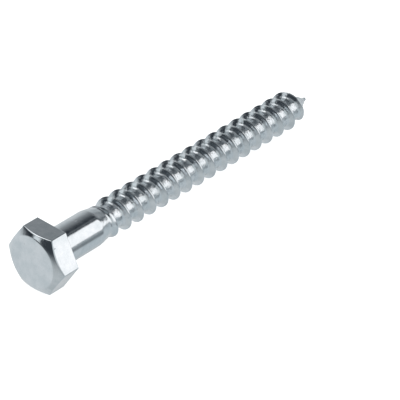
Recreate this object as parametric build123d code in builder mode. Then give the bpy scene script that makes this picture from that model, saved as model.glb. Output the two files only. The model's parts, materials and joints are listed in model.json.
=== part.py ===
from build123d import *
from math import atan, cos, degrees, pi, radians, sin, sqrt, tan
import os

# Coach screw, size 8 x 80, with a hexagon head, a plain shank and a gimlet point.
# The real screw is one forged and rolled piece, so this is one solid.
#
# It lies as it comes to rest on a flat surface at Z = 0: one flat of the head is underneath,
# and a thread crest near the point touches the surface, so the axis dips towards the point.
# The origin is on the surface below the middle of its length, and +X runs to the point.
# A station is a distance along the screw's own axis from the bearing face under the head.
# A turn is counted right-handed about the axis, from the place below it where the thread starts.

# Length from the bearing face to the end of the point
length = 80.0

# Head
across_flats = 12.9
head_height = 5.1
end_face_diameter = 11.1
head_chamfer_angle = 31.0
end_face_rounding = 0.35
underhead_fillet = 0.5

# Plain shank, and the neck where it narrows a little to the collar of the thread
shank_diameter = 7.9
shank_length = 11.2
neck_length = 2.4
collar_diameter = 7.48

# Thread. It begins within the neck, and its groove opens beside the collar over part of a turn.
thread_diameter = 8.0
core_diameter = 5.6
pitch = 3.735
flank_angle = 50.0
crest_width = 0.35
thread_start_in_neck = 1.45
turns_to_full_crest = 1.25
first_groove_turn = -0.15
turns_to_full_groove = 0.45

# Gimlet point
point_angle = 52.0
nib_diameter = 0.8
nib_length = 0.5
nib_rounding = 0.25
crest_taper_length = 6.6
crest_taper_radius = 3.75
plain_tip_length = 0.8

# The helical faces begin half a turn before the thread does, as a ridge of this least height
first_turn = -0.5
least_ridge_height = 0.02

# A helical edge passes through this many points in each turn
points_per_turn = 10

# Radii and slopes that follow from the sizes above
thread_radius = thread_diameter / 2
core_radius = core_diameter / 2
collar_radius = collar_diameter / 2
shank_radius = shank_diameter / 2
nib_radius = nib_diameter / 2
flank_slope = tan(radians(flank_angle / 2))
point_slope = tan(radians(point_angle / 2))
corner_radius = across_flats / sqrt(3)
chamfer_depth = (corner_radius - end_face_diameter / 2) * tan(radians(head_chamfer_angle))

# Stations along the screw. The helical faces lie between the last two.
thread_start = shank_length + thread_start_in_neck
crest_taper_start = length - crest_taper_length
helical_faces_start = shank_length - pitch / 2
cone_end = length - nib_length

# Whole turns of the helical faces, which leave the end of the cone plain
ridge_length = cone_end - plain_tip_length - thread_start
number_of_turns = int(ridge_length / pitch - first_turn)
last_turn = first_turn + number_of_turns

# The screw rests on the tip side of the last crest of full height that faces downwards
turns_before_taper = int((crest_taper_start - thread_start) / pitch)
rest_station = thread_start + turns_before_taper * pitch + crest_width / 2
rest_angle = degrees(atan((across_flats / 2 - thread_radius) / rest_station))
axis_height = across_flats / 2 * cos(radians(rest_angle))

# Lengthwise plane through the axis, with its X towards the point and its Y upwards
tip_direction = Vector(cos(radians(rest_angle)), 0, -sin(radians(rest_angle)))
lengthwise = Plane(origin=(0, 0, axis_height), x_dir=tip_direction, z_dir=(0, -1, 0))

# Plane across the screw at the bearing face
crosswise = Plane(origin=lengthwise.origin, x_dir=(0, 1, 0), z_dir=tip_direction)
screw_axis = Axis(origin=lengthwise.origin, direction=tip_direction)


def place(station, radius, turn):
    """Point at a station and a radius, on the side of the axis that a turn reaches."""
    angle = 2 * pi * turn - pi / 2
    return lengthwise.from_local_coords((station, radius * sin(angle), -radius * cos(angle)))


def ease(share):
    """Smooth rise from 0 to 1 while the share goes from 0 to 1, level before and after."""
    share = min(max(share, 0), 1)
    return share * share * (3 - 2 * share)


def body_radius(station):
    """Radius of the plain body: shank, neck and collar before the thread opens."""
    narrowing = ease((station - shank_length) / neck_length)
    return shank_radius - (shank_radius - collar_radius) * narrowing


def core_surface_radius(turn, station):
    """Radius under the thread: the core, and then the cone, a hair larger in the last turn."""
    lift = least_ridge_height * ease(turn - last_turn + 1)
    return lift + min(core_radius, nib_radius + (cone_end - station) * point_slope)


def crest_radius(turn, station):
    """Radius of the crest: it climbs from the collar, stays level and drops at the point."""
    climb = thread_radius - collar_radius - least_ridge_height
    climbed = least_ridge_height + climb * ease(turn / turns_to_full_crest)
    past_taper = min(max(station - crest_taper_start, 0), crest_taper_radius)
    drop = crest_taper_radius - sqrt(crest_taper_radius**2 - past_taper**2)
    lowest = core_surface_radius(turn, station) + least_ridge_height
    return max(body_radius(station) + climbed - drop, lowest)


def flank(turn, side):
    """Crest corner and foot of one flank, as (station, radius)."""
    middle = thread_start + pitch * turn
    crest = middle + side * crest_width / 2
    top = crest_radius(turn, crest)
    groove_turn = turn if side > 0 else turn - 1
    depth = ease((groove_turn - first_groove_turn) / turns_to_full_groove)
    foot = crest
    # The foot is where the flank meets a surface that may slope, so it is closed in on
    for _ in range(12):
        plain, cut = body_radius(foot), core_surface_radius(turn, foot)
        radius = plain - (plain - cut) * depth
        foot = crest + side * max(top - radius, least_ridge_height) * flank_slope
    return (crest, top), (foot, radius)


def ridge_section(turn):
    """Foot, crest, crest and foot of the ridge, from head to point, as points in space."""
    head_crest, head_foot = flank(turn, -1)
    tip_crest, tip_foot = flank(turn, 1)
    return [place(*corner, turn) for corner in (head_foot, head_crest, tip_crest, tip_foot)]


def helical_edge(corner, turn):
    """One turn of the curve that a corner of the ridge's section follows."""
    turns = [turn + step / points_per_turn for step in range(points_per_turn + 1)]
    points = [ridge_section(turn)[corner] for turn in turns]
    small = 0.001
    tangents = [
        (ridge_section(turn + small)[corner] - ridge_section(turn - small)[corner]) / (2 * small)
        for turn in (turns[0], turns[-1])
    ]
    return Edge.make_spline(points, tangents=tangents, parameters=turns, scale=False)


def round_edge(station, radius, turn):
    """Circle about the axis, which begins at the side that the turn reaches."""
    start = place(station, radius, turn)
    centre = lengthwise.from_local_coords((station, 0, 0))
    return Edge.make_circle(radius, Plane(centre, x_dir=start - centre, z_dir=tip_direction))


def threaded_body():
    """Neck, thread and point as helical faces, with a round flat at each end."""
    turns = [first_turn + step for step in range(number_of_turns)]
    edges = [helical_edge(corner, turn) for turn in turns for corner in range(4)]
    start = round_edge(helical_faces_start, shank_radius, first_turn)
    end = round_edge(cone_end, nib_radius, first_turn)
    # From edge to edge lie the neck, the ridge's three faces and the groove of each turn, and
    # the cone. Where the helical faces begin and end, two small flat faces close the joint.
    outline = [start, *edges, end]
    faces = [Face.make_surface_from_curves(one, other) for one, other in zip(outline, outline[1:])]
    neck_section = [start @ 0, *ridge_section(first_turn), ridge_section(first_turn + 1)[0]]
    tip_section = [ridge_section(last_turn - 1)[3], *ridge_section(last_turn), end @ 0]
    flats = [Wire(start), Wire(end)]
    flats += [Wire.make_polygon(neck_section), Wire.make_polygon(tip_section)]
    return Solid(Shell(faces + [Face(flat) for flat in flats]))


def open_faces(body, *joints):
    """Faces of a body, without the round flats at the stations where another joins it."""
    middles = [lengthwise.from_local_coords((joint, 0, 0)) for joint in joints]
    return [
        face
        for face in body.faces()
        if all((face.center() - middle).length > least_ridge_height for middle in middles)
    ]


# Head: a hexagon, turned on its end to a cone that leaves a round end face
with BuildPart() as head_and_shank:
    with BuildSketch(crosswise):
        RegularPolygon(radius=across_flats / 2, side_count=6, major_radius=False)
    extrude(amount=-head_height)
    with BuildSketch(lengthwise):
        with BuildLine():
            Polyline(
                (0, 0),
                (-head_height, 0),
                (-head_height, end_face_diameter / 2),
                (-head_height + chamfer_depth, corner_radius),
                (0, corner_radius),
                close=True,
            )
        make_face()
    revolve(axis=screw_axis, mode=Mode.INTERSECT)
    end_face_edge = head_and_shank.edges().filter_by(GeomType.CIRCLE).sort_by(screw_axis)[0]
    fillet(end_face_edge, radius=end_face_rounding)

    # Plain shank, with a small fillet where it meets the bearing face
    with BuildSketch(lengthwise):
        with BuildLine():
            Polyline(
                (-head_height / 2, 0),
                (-head_height / 2, shank_radius),
                (helical_faces_start, shank_radius),
                (helical_faces_start, 0),
                close=True,
            )
        make_face()
    revolve(axis=screw_axis)
    circles = head_and_shank.edges().filter_by(GeomType.CIRCLE)
    underhead_edge = circles.sort_by(lambda edge: abs(crosswise.to_local_coords(edge.center()).Z))[0]
    fillet(underhead_edge, radius=underhead_fillet)

# Small blunt nib at the end of the point
with BuildPart() as nib:
    with BuildSketch(lengthwise):
        with BuildLine():
            Polyline(
                (length, nib_radius - nib_rounding),
                (length, 0),
                (cone_end, 0),
                (cone_end, nib_radius),
                (length - nib_rounding, nib_radius),
            )
            RadiusArc(
                (length - nib_rounding, nib_radius),
                (length, nib_radius - nib_rounding),
                radius=nib_rounding,
            )
        make_face()
    revolve(axis=screw_axis)

# The whole screw: its outer faces meet edge to edge and enclose one solid
outer_faces = open_faces(head_and_shank.part, helical_faces_start)
outer_faces += open_faces(threaded_body(), helical_faces_start, cone_end)
outer_faces += open_faces(nib.part, cone_end)
lying_screw = Solid(Shell(outer_faces))

# The origin goes below the middle of the length
box = lying_screw.bounding_box()
screw = lying_screw.moved(Location((-box.center().X, 0, -box.min.Z)))

screw.label = "coach_screw"
os.makedirs("parts", exist_ok=True)
export_step(screw, "parts/coach_screw.step")
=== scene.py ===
import json
from math import cos, pi, radians, sin, sqrt, tan

import bpy
from mathutils import Matrix, Vector, noise


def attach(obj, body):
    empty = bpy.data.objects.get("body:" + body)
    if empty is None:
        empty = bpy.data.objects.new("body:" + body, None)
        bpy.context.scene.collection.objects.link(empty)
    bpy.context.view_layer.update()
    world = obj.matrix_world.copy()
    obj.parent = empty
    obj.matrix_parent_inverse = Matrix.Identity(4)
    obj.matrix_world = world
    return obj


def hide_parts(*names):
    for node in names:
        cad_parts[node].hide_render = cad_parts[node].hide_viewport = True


# Coach screw, size 8 x 80, lying on a pale floor with its head towards the camera.
# Lengths are in metres, and angles in degrees.
# A station is a distance along the screw's own axis from the bearing face under the head.
# A turn is counted right-handed about the axis, from the place below it where the thread starts.

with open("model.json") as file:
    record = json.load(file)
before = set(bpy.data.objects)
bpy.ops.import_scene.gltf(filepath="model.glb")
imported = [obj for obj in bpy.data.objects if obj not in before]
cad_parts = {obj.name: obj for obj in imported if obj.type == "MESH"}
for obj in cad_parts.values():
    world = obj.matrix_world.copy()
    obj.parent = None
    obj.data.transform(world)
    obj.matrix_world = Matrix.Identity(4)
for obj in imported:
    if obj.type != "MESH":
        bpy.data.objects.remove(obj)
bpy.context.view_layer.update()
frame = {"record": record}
mm = 0.001

# The bearing face gives the axis of the screw. Its own place is beside the shank, so the seat,
# where the axis passes through it, takes only its X and Z.
bearing_face = next(mount for mount in frame["record"]["mounts"] if mount["name"] == "bearing_face")
tip_direction = Vector(bearing_face["axis"]).normalized()
sideways = Vector((0, 1, 0))
upwards = tip_direction.cross(sideways)
seat = Vector((bearing_face["pos_m"][0], 0, bearing_face["pos_m"][2]))

# Head and shank, with the sizes of the solid
length = 80.0 * mm
across_flats = 12.9 * mm
head_height = 5.1 * mm
end_face_radius = 5.55 * mm
head_chamfer_angle = 31.0
end_face_rounding = 0.35 * mm
underhead_fillet = 0.5 * mm
shank_radius = 3.95 * mm
shank_length = 11.2 * mm

# Neck: a cone, where the solid narrows in a gentle S. Its slope is radius lost for each length.
neck_slope = 0.184
neck_rounding = 0.05 * mm

# Thread. Its crest is narrower than that of the solid, and its first ridge has gentler flanks.
# The slope of a flank is length gained for each height.
thread_radius = 4.0 * mm
core_radius = 2.8 * mm
pitch = 3.735 * mm
flank_angle = 50.0
crest_width = 0.2 * mm
thread_start = 12.65 * mm
turns_of_faint_ridge = 0.4
turns_to_full_crest = 1.1
run_up_slope = 2.0
first_groove_turn = -0.15
turns_to_full_groove = 0.45

# Gimlet point, where the crest comes down in an arc and the ridge fades out before the nib
point_angle = 52.0
nib_radius = 0.4 * mm
nib_length = 0.5 * mm
nib_rounding = 0.25 * mm
crest_taper_length = 6.6 * mm
crest_taper_radius = 3.75 * mm
ridge_fade_length = 1.0 * mm

# Roundings of edges that are sharp on the solid
corner_rounding = 0.22 * mm
side_edge_rounding = 0.24 * mm
bearing_edge_rounding = 0.1 * mm
crest_rounding = 0.2 * mm
root_rounding = 0.55 * mm
least_root_rounding = 0.1 * mm

# Hollow of the roots: its depth, and how far it goes on rising, in halves of a root
root_hollow = 0.1 * mm
hollow_reach = 1.3

# Uneven thread: how far its crest wavers and how often, and the row of noise that it follows
crest_waver = 0.06 * mm
wavers_per_turn = 4.1
waver_row = 7

# Marks of rolling: their depth and width, and the radius of the thread in the pattern of marks.
# Finer marks lie over them, with a share of their depth. From a height above the root, all of
# them have lost a share of their depth too.
mark_depth = 0.05 * mm
mark_width = 0.55 * mm
mark_pattern_radius = 4.2
finer_mark_share = 0.5
finer_mark_scale = 2.1
marked_height = 0.6 * mm
share_lost_on_ridge = 0.7

# Lengths over which the marks fade in after the shank, and marks and hollow fade out at the point
fade_in_length = 2.0 * mm
fade_out_length = 3.0 * mm

# Fineness of the mesh: points in each sixth of a round and in half a flat, steps in each
# rounding, and the width of the strip that keeps a face flat beside a rounding
points_per_side = 24
points_per_half_flat = 9
rounding_steps = 5
support = 0.04 * mm

# Shares of the way across a face or half of it, at which rings or rows of points follow it
shares_of_end_face = (0.3, 0.6, 0.9)
shares_of_shank = (0.25, 0.5, 0.75, 1.0)
shares_of_crest = (0.55, 1.0)
shares_of_flank = (0.08, 0.2, 0.35, 0.5, 0.65, 0.8, 0.92)
shares_of_root = (0.05, 0.3, 0.6)

# Turns for which the rows run on past both ends of the thread
spare_turns = 3

# Points whose places and turns agree to this fineness are one point
same_place = 0.0001 * mm
same_turn = 0.00001

# Sizes that follow from those above
points_around = 6 * points_per_side
flank_slope = tan(radians(flank_angle / 2))
point_slope = tan(radians(point_angle / 2))
flank_length = (thread_radius - core_radius) * flank_slope
half_root = (pitch - crest_width) / 2 - flank_length
crest_taper_start = length - crest_taper_length
cone_end = length - nib_length
helical_start = shank_length - pitch / 2

# Zinc plating: two colours in clouds, and a roughness that varies with a finer haze
dark_zinc = (0.60, 0.655, 0.69, 1)
light_zinc = (0.70, 0.74, 0.775, 1)
least_roughness = 0.09
most_roughness = 0.17

# Scales of its patterns, in clouds, marks or cells to a metre
plating_scale = 420.0
haze_scale = 1100.0
wave_scale = 700.0
grain_scale = 4500.0
fine_mark_scale = (2800.0, 1300.0, 1300.0)
dent_scale = 330.0

# Values of the clouds and of the haze between which colour and roughness change. A dent lies in
# the middle of each cell, and rises to the surface between two distances, in cells.
plating_range = (0.35, 0.65)
haze_range = (0.3, 0.7)
dent_range = (0.03, 0.09)

# Depths of its relief, the radii between which the fine marks grow fainter, and the share of
# their strength that is left on the crest
wave_relief = 0.018 * mm
grain_relief = 0.0015 * mm
fine_mark_relief = 0.085 * mm
dent_relief = 0.03 * mm
root_side_radius = 2.9 * mm
crest_side_radius = 3.5 * mm
fine_marks_on_crest = 0.4

# The studio that the metal mirrors. Each colour is a tint at a level, over the cast of the room.
cool = (0.97, 1.0, 0.995)
teal = (0.94, 1.0, 1.02)
neutral = (0.975, 1.0, 1.0)
lamp_tint = (1.03, 1.0, 0.98)
room_cast = (0.0, 0.006, 0.015)

# Levels of each side of the studio, from stops of (elevation, level)
camera_side = [
    (-90, 0.59), (-60, 0.62), (-40, 0.645), (-30, 0.60), (-20, 0.52), (-15, 0.45), (-10, 0.37),
    (-5, 0.27), (0, 0.17), (5, 0.08), (10, 0.05), (25, 0.05), (36, 0.09), (42, 0.18), (50, 0.44),
    (57, 0.40), (75, 0.18), (90, 0.15),
]
lamp_side = [
    (-90, 0.60), (-50, 0.64), (-20, 0.66), (-8, 0.58), (0, 0.42), (8, 0.2),
    (44, 0.11), (50, 0.03), (56, 0.05), (66, 0.30), (80, 0.28), (90, 0.20),
]
far_side = [
    (-90, 0.62), (-50, 0.65), (-26, 0.75), (-10, 0.72), (5, 0.68), (13, 0.59), (21, 0.51),
    (28, 0.36), (35, 0.28), (41, 0.20), (46, 0.12), (50, 0.03), (60, 0.05), (75, 0.24), (90, 0.20),
]
left_side = [
    (-90, 0.66), (-34, 0.78), (-14, 0.80), (-8, 0.80), (-4, 0.68), (0, 0.42), (5, 0.10), (9, 0.03),
    (15, 0.03), (22, 0.07), (27, 0.34), (32, 0.66), (45, 0.66), (60, 0.6), (75, 0.35), (90, 0.20),
]

# Azimuth, half width, softness of its edges, tint and levels of each side but the camera's
other_sides = [
    (-65, 55, 10, teal, lamp_side),
    (27, 36, 8, neutral, far_side),
    (107, 45, 8, neutral, left_side),
]

# Azimuth, half width, elevation, half height, softness of its edges, tint and level of each
# panel: two dark ones, two strips of light, a broad wall and two lamps
panels = [
    (-57, 12, -13, 8, 5.0, teal, 0.26),
    (163, 14, -6, 9, 6.0, cool, 0.08),
    (152, 8, 16, 9, 3.0, cool, 0.93),
    (138, 11, 32, 8, 4.0, cool, 0.80),
    (-107, 40, 19, 21, 7.0, cool, 0.72),
    (-48, 25, 26.5, 23.5, 2.0, lamp_tint, 1.34),
    (115, 24, 58, 14, 4.0, lamp_tint, 1.7),
]

# Floor: a grey that gathers shadow, and a glow that makes it white for the camera
white = (1, 1, 1, 1)
floor_grey = (0.8, 0.8, 0.8, 1)
floor_glow = 0.8
floor_half_width = 3.0

# Camera, with its lens and sensor in millimetres
lens = 232.1
sensor_width = 36.0
view_depth = 10.0

# Its directions, and its place from the seat in millimetres, are given along the screw towards
# the point, to the left and upwards
camera_right = (0.6426, -0.7634, 0.0658)
camera_forward = (0.6554, 0.5031, -0.5634)
camera_place = (-304.94, -269.46, 291.79)


def place(station, radius, turn):
    """Point at a station and a radius, on the side of the axis that a turn reaches."""
    outwards = sideways * sin(2 * pi * turn) - upwards * cos(2 * pi * turn)
    return seat + tip_direction * station + outwards * radius


def ease(share):
    """Smooth rise from 0 to 1 while the share goes from 0 to 1."""
    share = min(max(share, 0), 1)
    return share * share * (3 - 2 * share)


def soft_max(one, other, width):
    """The larger of two values, with a rounded change over where they are nearer than the width."""
    nearness = max(width - abs(one - other), 0) / width
    return max(one, other) + nearness * nearness * width / 4


def before_nib(station, fade_length):
    """1 along the screw, and a smooth fall to 0 over a length before the end of the cone."""
    return ease((cone_end - station) / fade_length)


def body_radius(station):
    """Radius of the plain body: the shank, and the neck that narrows to the first groove."""
    neck = shank_radius - (station - shank_length) * neck_slope
    return max(-soft_max(-shank_radius, -neck, neck_rounding), core_radius)


def rolling_marks(station, turn):
    """Height of the small dents and swellings that rolling leaves in the thread, level at its ends."""
    across = cos(2 * pi * turn) * mark_pattern_radius
    upright = sin(2 * pi * turn) * mark_pattern_radius
    spot = Vector((station / mark_width, across, upright))
    share = ease((station - shank_length) / fade_in_length) * before_nib(station, fade_out_length)
    finer = finer_mark_share * noise.noise(spot * finer_mark_scale)
    return share * mark_depth * (noise.noise(spot) + finer)


def thread_surface(station, turn):
    """Radius of the screw between shank and nib, on the side of the axis that a turn reaches."""
    phase = (station - thread_start) / pitch - turn
    crest = round(phase)
    crest_turn = crest + turn
    waver = crest_waver * noise.noise(Vector((crest_turn * wavers_per_turn, 0, waver_row)))
    offset = (phase - crest) * pitch + waver
    groove_turn = crest_turn if offset > 0 else crest_turn - 1
    opened = ease((groove_turn - first_groove_turn) / turns_to_full_groove)

    # The groove opens from the body down to the core and the cone. Its root is a shallow hollow,
    # lowest in the middle between two crests.
    body = body_radius(station)
    cone = min(core_radius, nib_radius + (cone_end - station) * point_slope)
    off_middle = min((pitch / 2 - abs(offset)) / half_root, hollow_reach)
    hollow = root_hollow * opened * off_middle * off_middle * before_nib(station, fade_out_length)
    floor = body - (body - cone) * opened + hollow

    # The crest climbs from the body and comes down in an arc at the point
    climbed = (thread_radius - body) * ease(crest_turn / turns_to_full_crest)
    past_taper = min(max(station - crest_taper_start, 0), crest_taper_radius)
    drop = crest_taper_radius - sqrt(crest_taper_radius**2 - past_taper**2)
    top = body + climbed - drop
    slope = run_up_slope + (flank_slope - run_up_slope) * opened
    flank = top - max(abs(offset) - crest_width / 2, 0) / slope
    ridge = -soft_max(-top, -flank - crest_rounding / 2, crest_rounding)

    # Before its start and at the nib, the ridge fades out, so that the surface meets the rings there
    raised = soft_max(floor, ridge, root_rounding * opened + least_root_rounding) - floor
    begun = ease(crest_turn / turns_of_faint_ridge + 1)
    surface = floor + raised * begun * before_nib(station, ridge_fade_length)
    height = min((surface - floor) / marked_height, 1)
    return surface + rolling_marks(station, turn) * (1 - share_lost_on_ridge * height)


def curve_between(start, corner, end):
    """Points of a rounded corner, without its start."""
    shares = [step / rounding_steps for step in range(1, rounding_steps + 1)]
    return [
        tuple((1 - s) ** 2 * a + 2 * s * (1 - s) * b + s * s * c for a, b, c in zip(start, corner, end))
        for s in shares
    ]


def hexagon_outline():
    """Turn and radius of each point around the hexagon, with rounded corners and a flat below."""
    half_sector = radians(30)
    half_width = across_flats / 2
    straight = (half_width - corner_rounding) * tan(half_sector)
    half = points_per_side // 2
    outline = []
    for index in range(points_around):
        sector, step = divmod(index + half, points_per_side)
        step -= half
        along = abs(step)
        if along < points_per_half_flat:
            out = half_width
            across = straight * along / points_per_half_flat
            if along == points_per_half_flat - 1:
                across = straight - support
        else:
            bend = half_sector * (along - points_per_half_flat) / (half - points_per_half_flat)
            out = half_width - corner_rounding * (1 - cos(bend))
            across = straight + corner_rounding * sin(bend)
        direction = Vector((out, across if step > 0 else -across))
        turn = sector / 6 + direction.angle_signed(Vector((1, 0))) / (2 * pi)
        outline.append((turn, direction.length))
    return outline


def head_profile(rim):
    """Stations and radii of the head, from its end face out to a rim and in along the bearing face."""
    slope = tan(radians(head_chamfer_angle))
    lean = cos(radians(head_chamfer_angle))
    rise = sin(radians(head_chamfer_angle))
    end_face = -head_height
    edge = end_face + (rim - end_face_radius) * slope
    face_end = (end_face, end_face_radius - end_face_rounding)
    cone_begin = (end_face + end_face_rounding * rise, end_face_radius + end_face_rounding * lean)
    cone_stop = (edge - side_edge_rounding * rise, rim - side_edge_rounding * lean)
    cone_middle = tuple((a + b) / 2 for a, b in zip(cone_begin, cone_stop))
    side_begin = (edge + side_edge_rounding, rim)
    side_end = (-bearing_edge_rounding, rim)
    bearing_begin = (0, rim - bearing_edge_rounding)
    profile = [(end_face, face_end[1] * share) for share in shares_of_end_face]
    profile += [(end_face, face_end[1] - support), face_end]
    profile += curve_between(face_end, (end_face, end_face_radius), cone_begin)
    profile += [cone_middle, cone_stop]
    profile += curve_between(cone_stop, (edge, rim), side_begin)
    profile += [(side_begin[0] + support, rim), (side_end[0] - support, rim), side_end]
    profile += curve_between(side_end, (0, rim), bearing_begin)
    profile += [(0, bearing_begin[1] - support)]
    return profile


def shank_profile():
    """Stations and radii from the bearing face through the fillet to where the thread's rows begin."""
    fillet_begin = (0, shank_radius + underhead_fillet)
    fillet_end = (underhead_fillet, shank_radius)
    profile = [(0, fillet_begin[1] + support), fillet_begin]
    profile += curve_between(fillet_begin, (0, shank_radius), fillet_end)
    profile += [(fillet_end[0] + support, shank_radius)]
    profile += [(helical_start * share, shank_radius) for share in shares_of_shank]
    return profile


def nib_profile():
    """Stations and radii from the end of the cone to the end of the nib."""
    nib_edge = (length - nib_rounding, nib_radius)
    profile = [(cone_end, nib_radius), nib_edge]
    profile += curve_between(nib_edge, (length, nib_radius), (length, nib_radius - nib_rounding))
    return profile


def head_rings():
    """Rings of the head, with a point as (station, radius, turn) for each point of the hexagon."""
    columns = [
        [(station, radius, turn) for station, radius in head_profile(rim)]
        for turn, rim in hexagon_outline()
    ]
    return [list(ring) for ring in zip(*columns)]


def round_rings(profile):
    """Rings about the axis, one for each station and radius of a profile."""
    return [
        [(station, radius, index / points_around) for index in range(points_around)]
        for station, radius in profile
    ]


def section_offsets():
    """Distances from the crest's middle, over one pitch, where the thread's section has points."""
    edge = crest_width / 2
    foot = edge + flank_length
    side = [edge * share for share in shares_of_crest]
    side += [edge + (foot - edge) * share for share in shares_of_flank]
    side += [foot + (pitch / 2 - foot) * share for share in shares_of_root]
    return sorted([-offset for offset in side] + [0.0] + side + [pitch / 2])


def thread_rows():
    """Rows that follow the thread, and how many there are to a turn.

    Rows run on for some turns past both ends, where their points stay on the ring at that end.
    """
    offsets = section_offsets()
    first = int((helical_start - thread_start) / pitch) - spare_turns
    last = int((cone_end - thread_start) / pitch) + spare_turns
    rows = []
    for number in range(first, last):
        for offset in offsets:
            row = []
            for index in range(points_around):
                turn = index / points_around
                station = thread_start + pitch * (number + turn) + offset
                station = min(max(station, helical_start), cone_end)
                row.append((station, thread_surface(station, turn), turn))
            rows.append(row)
    return rows, len(offsets)


class Surface:
    """Points and faces of a closed surface, in which equal points are one."""

    def __init__(self):
        self.points = []
        self.numbers = {}
        self.faces = []

    def point(self, station, radius, turn):
        """Number of a point, which is added if it is new."""
        key = (round(station / same_place), round(radius / same_place), round(turn / same_turn))
        if key not in self.numbers:
            self.numbers[key] = len(self.points)
            self.points.append(place(station, radius, turn))
        return self.numbers[key]

    def row(self, corners):
        """Numbers of the points in a row or ring."""
        return [self.point(*corner) for corner in corners]

    def face(self, *corners):
        """Face whose corners are given clockwise as seen from outside, and turned to look outwards.

        A corner that is the same point as the one before it is left out.
        """
        different = [corner for index, corner in enumerate(corners) if corner != corners[index - 1]]
        if len(set(different)) > 2:
            self.faces.append(different[::-1])

    def strip(self, one, other):
        """Faces between two rows with as many points each."""
        for index in range(1, len(one)):
            self.face(one[index - 1], other[index - 1], other[index], one[index])

    def tube(self, rings):
        """Faces between each closed ring and the next. Gives back the first and the last ring."""
        rings = [self.row(ring) for ring in rings]
        for one, other in zip(rings, rings[1:]):
            self.strip(one[-1:] + one, other[-1:] + other)
        return rings[0], rings[-1]

    def helix(self, rows, rows_per_turn):
        """Faces between rows that go on, after one turn, as the rows of the next turn."""
        rows = [self.row(row) for row in rows]
        joined = [row + following[:1] for row, following in zip(rows, rows[rows_per_turn:])]
        for one, other in zip(joined, joined[1:]):
            self.strip(one, other)

    def fan(self, middle, ring):
        """Faces between a point and the ring around it."""
        for index in range(len(ring)):
            self.face(middle, ring[index - 1], ring[index])


def screw_mesh():
    """The whole screw as one closed mesh."""
    surface = Surface()
    end_face_ring, _ = surface.tube(head_rings() + round_rings(shank_profile()))
    surface.fan(surface.point(-head_height, 0, 0), end_face_ring)
    surface.helix(*thread_rows())
    _, nib_ring = surface.tube(round_rings(nib_profile()))
    surface.fan(surface.point(length, 0, 0), nib_ring[::-1])

    mesh = bpy.data.meshes.new("coach_screw_surface")
    mesh.from_pydata(surface.points, [], surface.faces)
    mesh.shade_smooth()
    return mesh


def new_object(name, data):
    """Object in the scene that holds a mesh, a lamp or a camera."""
    thing = bpy.data.objects.new(name, data)
    bpy.context.scene.collection.objects.link(thing)
    return thing


def new_tree(owner):
    """Empty node tree of a material or world."""
    owner.use_nodes = True
    owner.node_tree.nodes.clear()
    return owner.node_tree


def feed(tree, socket, value):
    """Gives an input its value, which is a constant or the output of another node."""
    if isinstance(value, bpy.types.NodeSocket):
        tree.links.new(value, socket)
    else:
        socket.default_value = value


def node(tree, kind, *inputs, **named):
    """New node, with its first inputs in their order, and with settings and other inputs by name.

    An underscore in the name of an input stands for a space.
    """
    made = tree.nodes.new(kind)
    fed = list(zip(made.inputs, inputs))
    for name, value in named.items():
        socket = made.inputs.get(name.replace("_", " "))
        if socket is None:
            setattr(made, name, value)
        else:
            fed.append((socket, value))
    for socket, value in fed:
        feed(tree, socket, value)
    return made


def ranged(tree, value, low, high, at_low=0.0, at_high=1.0, curve="SMOOTHSTEP"):
    """Output that goes from one level to another while a value goes from low to high."""
    made = node(tree, "ShaderNodeMapRange", value, low, high, at_low, at_high, interpolation_type=curve)
    return made.outputs["Result"]


def ramp(tree, value, stops):
    """Colour that follows a value, from stops of position and colour."""
    made = node(tree, "ShaderNodeValToRGB", value)
    elements = made.color_ramp.elements
    while len(elements) < len(stops):
        elements.new(0.5)
    for element, (position, colour) in zip(elements, stops):
        element.position = position
        element.color = colour
    return made.outputs["Color"]


def by_ray(tree, for_others, for_camera):
    """Shader that is one thing to the camera and another to the light and the metal."""
    path = node(tree, "ShaderNodeLightPath")
    pick = node(tree, "ShaderNodeMixShader", path.outputs["Is Camera Ray"], for_others, for_camera)
    return pick.outputs["Shader"]


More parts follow.
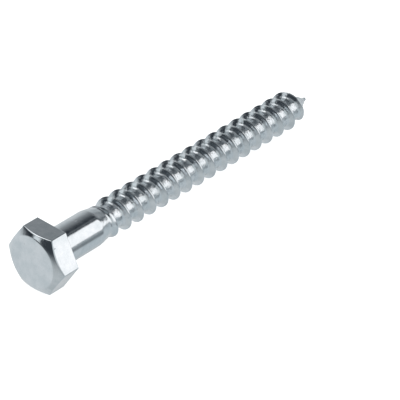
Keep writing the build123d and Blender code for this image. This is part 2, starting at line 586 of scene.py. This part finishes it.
def zinc_material():
    """Bright zinc plating: shiny, faintly blue, with soft mottling and fine marks of rolling."""
    material = bpy.data.materials.new("bright_zinc")
    tree = new_tree(material)
    on_screw = node(tree, "ShaderNodeTexCoord").outputs["Object"]

    def clouds(scale, detail, roughness, spot=on_screw):
        """Cloudy pattern with values from 0 to 1."""
        made = node(tree, "ShaderNodeTexNoise", Vector=spot, Scale=scale, Detail=detail, Roughness=roughness)
        return made.outputs["Fac"]

    def vector_math(operation, *vectors):
        """Outputs of a vector math node."""
        return node(tree, "ShaderNodeVectorMath", *vectors, operation=operation).outputs

    # Cloudy colour of the plating, and roughness that varies with a finer cloud
    plating = clouds(plating_scale, detail=4.0, roughness=0.6)
    colour = ramp(tree, plating, list(zip(plating_range, (dark_zinc, light_zinc))))
    haze = clouds(haze_scale, detail=5.0, roughness=0.65)
    roughness = ranged(tree, haze, *haze_range, least_roughness, most_roughness, curve="LINEAR")

    # Shallow waves from forging and rolling, and a fine grain
    waves = clouds(wave_scale, detail=3.0, roughness=0.55)
    grain = clouds(grain_scale, detail=3.0, roughness=0.6)

    # Finer marks along the thread, drawn out in the direction of rolling
    drawn_out = node(tree, "ShaderNodeMapping", Vector=on_screw, Scale=fine_mark_scale)
    fine_marks = clouds(1.0, detail=3.0, roughness=0.6, spot=drawn_out.outputs["Vector"])

    # They begin after the shank, and are fainter on the crest than in the root
    thread_x = seat.x + shank_length
    screw_x = node(tree, "ShaderNodeSeparateXYZ", on_screw).outputs["X"]
    along_thread = ranged(tree, screw_x, thread_x, thread_x + fade_in_length)
    from_seat = vector_math("SUBTRACT", on_screw, seat)["Vector"]
    off_axis = vector_math("CROSS_PRODUCT", from_seat, tip_direction)["Vector"]
    radius = vector_math("LENGTH", off_axis)["Value"]
    in_root = ranged(tree, radius, root_side_radius, crest_side_radius, 1.0, fine_marks_on_crest)
    marked = node(tree, "ShaderNodeMath", along_thread, in_root, operation="MULTIPLY")

    # A few small dents, from screws that knock together
    cells = node(tree, "ShaderNodeTexVoronoi", Vector=on_screw, Scale=dent_scale, Randomness=1.0)
    dents = ranged(tree, cells.outputs["Distance"], *dent_range)

    # Each relief, with its depth and strength, lies over the one before it
    reliefs = [
        (waves, wave_relief, 1.0),
        (grain, grain_relief, 1.0),
        (fine_marks, fine_mark_relief, marked.outputs["Value"]),
        (dents, dent_relief, 1.0),
    ]
    below = {}
    for height, depth, strength in reliefs:
        bump = node(tree, "ShaderNodeBump", Height=height, Distance=depth, Strength=strength, **below)
        below = {"Normal": bump.outputs["Normal"]}

    shader = node(
        tree, "ShaderNodeBsdfPrincipled", Metallic=1.0, Base_Color=colour, Roughness=roughness, **below
    )
    node(tree, "ShaderNodeOutputMaterial", Surface=shader.outputs["BSDF"])
    return material


def floor_material():
    """Pale floor, white where the camera sees it, that keeps the screw's soft shadow."""
    material = bpy.data.materials.new("floor")
    tree = new_tree(material)
    paper = node(tree, "ShaderNodeBsdfDiffuse", Color=floor_grey).outputs["BSDF"]
    glow = node(tree, "ShaderNodeEmission", Color=white, Strength=floor_glow).outputs["Emission"]
    both = node(tree, "ShaderNodeAddShader", paper, glow).outputs["Shader"]
    node(tree, "ShaderNodeOutputMaterial", Surface=by_ray(tree, for_others=paper, for_camera=both))
    return material


def lit(tint, level):
    """Colour of a field of the studio."""
    return (*[level * part + cast for part, cast in zip(tint, room_cast)], 1)


def studio_world():
    """A studio around the screw: white for the camera, and for its metal a floor, walls and lamps.

    Each side is a band of azimuth with its own levels by elevation, from straight down to
    straight up. Each panel is a field of one level that lies over the sides and earlier panels.
    """
    world = bpy.data.worlds.new("studio")
    bpy.context.scene.world = world
    tree = new_tree(world)

    def calculate(operation, *values):
        """Output of a math node, whose inputs are numbers or outputs of other nodes."""
        return node(tree, "ShaderNodeMath", *values, operation=operation).outputs["Value"]

    direction = node(tree, "ShaderNodeTexCoord").outputs["Generated"]
    x, y, z = node(tree, "ShaderNodeSeparateXYZ", direction).outputs
    azimuth = calculate("DEGREES", calculate("ARCTAN2", y, x))
    elevation = calculate("DEGREES", calculate("ARCSINE", z))

    # On a ramp, 0 is straight down and 1 is straight up
    height = calculate("MULTIPLY_ADD", elevation, 1 / 180, 0.5)

    def levels(stops, tint):
        """Colour by elevation, from stops of elevation and level."""
        return ramp(tree, height, [(angle / 180 + 0.5, lit(tint, level)) for angle, level in stops])

    def within(angle, middle, half_width, softness):
        """1 where an angle is nearer than the half width to the middle, and 0 beyond it."""
        apart = calculate("WRAP", calculate("SUBTRACT", angle, middle), 180, -180)
        away = calculate("ABSOLUTE", apart)
        return ranged(tree, away, half_width + softness, half_width - softness)

    def cover(below, above, share):
        """Colour below, with another over it where the share is 1."""
        made = node(tree, "ShaderNodeMix", share, data_type="RGBA")
        # A mix node has its colours at inputs 6 and 7 and at output 2
        feed(tree, made.inputs[6], below)
        feed(tree, made.inputs[7], above)
        return made.outputs[2]

    colour = levels(camera_side, cool)
    for side_azimuth, half_width, softness, tint, stops in other_sides:
        share = within(azimuth, side_azimuth, half_width, softness)
        colour = cover(colour, levels(stops, tint), share)
    for panel_azimuth, half_width, panel_elevation, half_height, softness, tint, level in panels:
        across = within(azimuth, panel_azimuth, half_width, softness)
        upright = within(elevation, panel_elevation, half_height, softness)
        colour = cover(colour, lit(tint, level), calculate("MULTIPLY", across, upright))

    studio = node(tree, "ShaderNodeBackground", Color=colour, Strength=1.0).outputs["Background"]
    backdrop = node(tree, "ShaderNodeBackground", Color=white, Strength=1.0).outputs["Background"]
    node(tree, "ShaderNodeOutputWorld", Surface=by_ray(tree, for_others=studio, for_camera=backdrop))


def add_softbox(name, azimuth, elevation, distance, width, height, radiance):
    """Rectangular lamp that faces the middle of the screw, and that its metal doesn't mirror."""
    lamp = bpy.data.lights.new(name, "AREA")
    lamp.shape = "RECTANGLE"
    lamp.size = width
    lamp.size_y = height
    lamp.energy = radiance * pi * width * height
    softbox = new_object(name, lamp)
    along_floor = cos(radians(elevation)) * distance
    softbox.location = (
        along_floor * cos(radians(azimuth)),
        along_floor * sin(radians(azimuth)),
        sin(radians(elevation)) * distance,
    )
    softbox.rotation_euler = (-softbox.location).to_track_quat("-Z", "Y").to_euler()
    softbox.visible_glossy = False


def add_floor():
    """Large pale floor under the screw. The metal mirrors the lower half of the studio instead."""
    half = floor_half_width
    corners = [(-half, -half, 0), (half, -half, 0), (half, half, 0), (-half, half, 0)]
    mesh = bpy.data.meshes.new("floor")
    mesh.from_pydata(corners, [], [(0, 1, 2, 3)])
    mesh.materials.append(floor_material())
    floor = new_object("floor", mesh)
    floor.visible_glossy = False


def on_axes(along, left, up):
    """Direction or offset given along the screw's own axes."""
    return tip_direction * along + sideways * left + upwards * up


def add_camera():
    """Camera at the photograph's place, found by fitting it to the screw's outline."""
    camera_data = bpy.data.cameras.new("camera")
    camera_data.sensor_width = sensor_width
    camera_data.lens = lens
    camera_data.clip_end = view_depth
    camera = new_object("camera", camera_data)
    right = on_axes(*camera_right)
    back = -on_axes(*camera_forward)
    up = back.cross(right)
    facing = Matrix((right, up, back)).transposed().to_4x4()
    position = seat + on_axes(*camera_place) * mm
    camera.matrix_world = Matrix.Translation(position) @ facing
    bpy.context.scene.camera = camera


screw = new_object("coach_screw_detailed", screw_mesh())
screw.data.materials.append(zinc_material())
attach(screw, "root")
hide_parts("coach_screw")

add_floor()
studio_world()
add_softbox("overhead", azimuth=120, elevation=75, distance=1.0, width=1.0, height=1.0, radiance=0.7)
add_camera()
bpy.context.scene.view_settings.view_transform = "Standard"
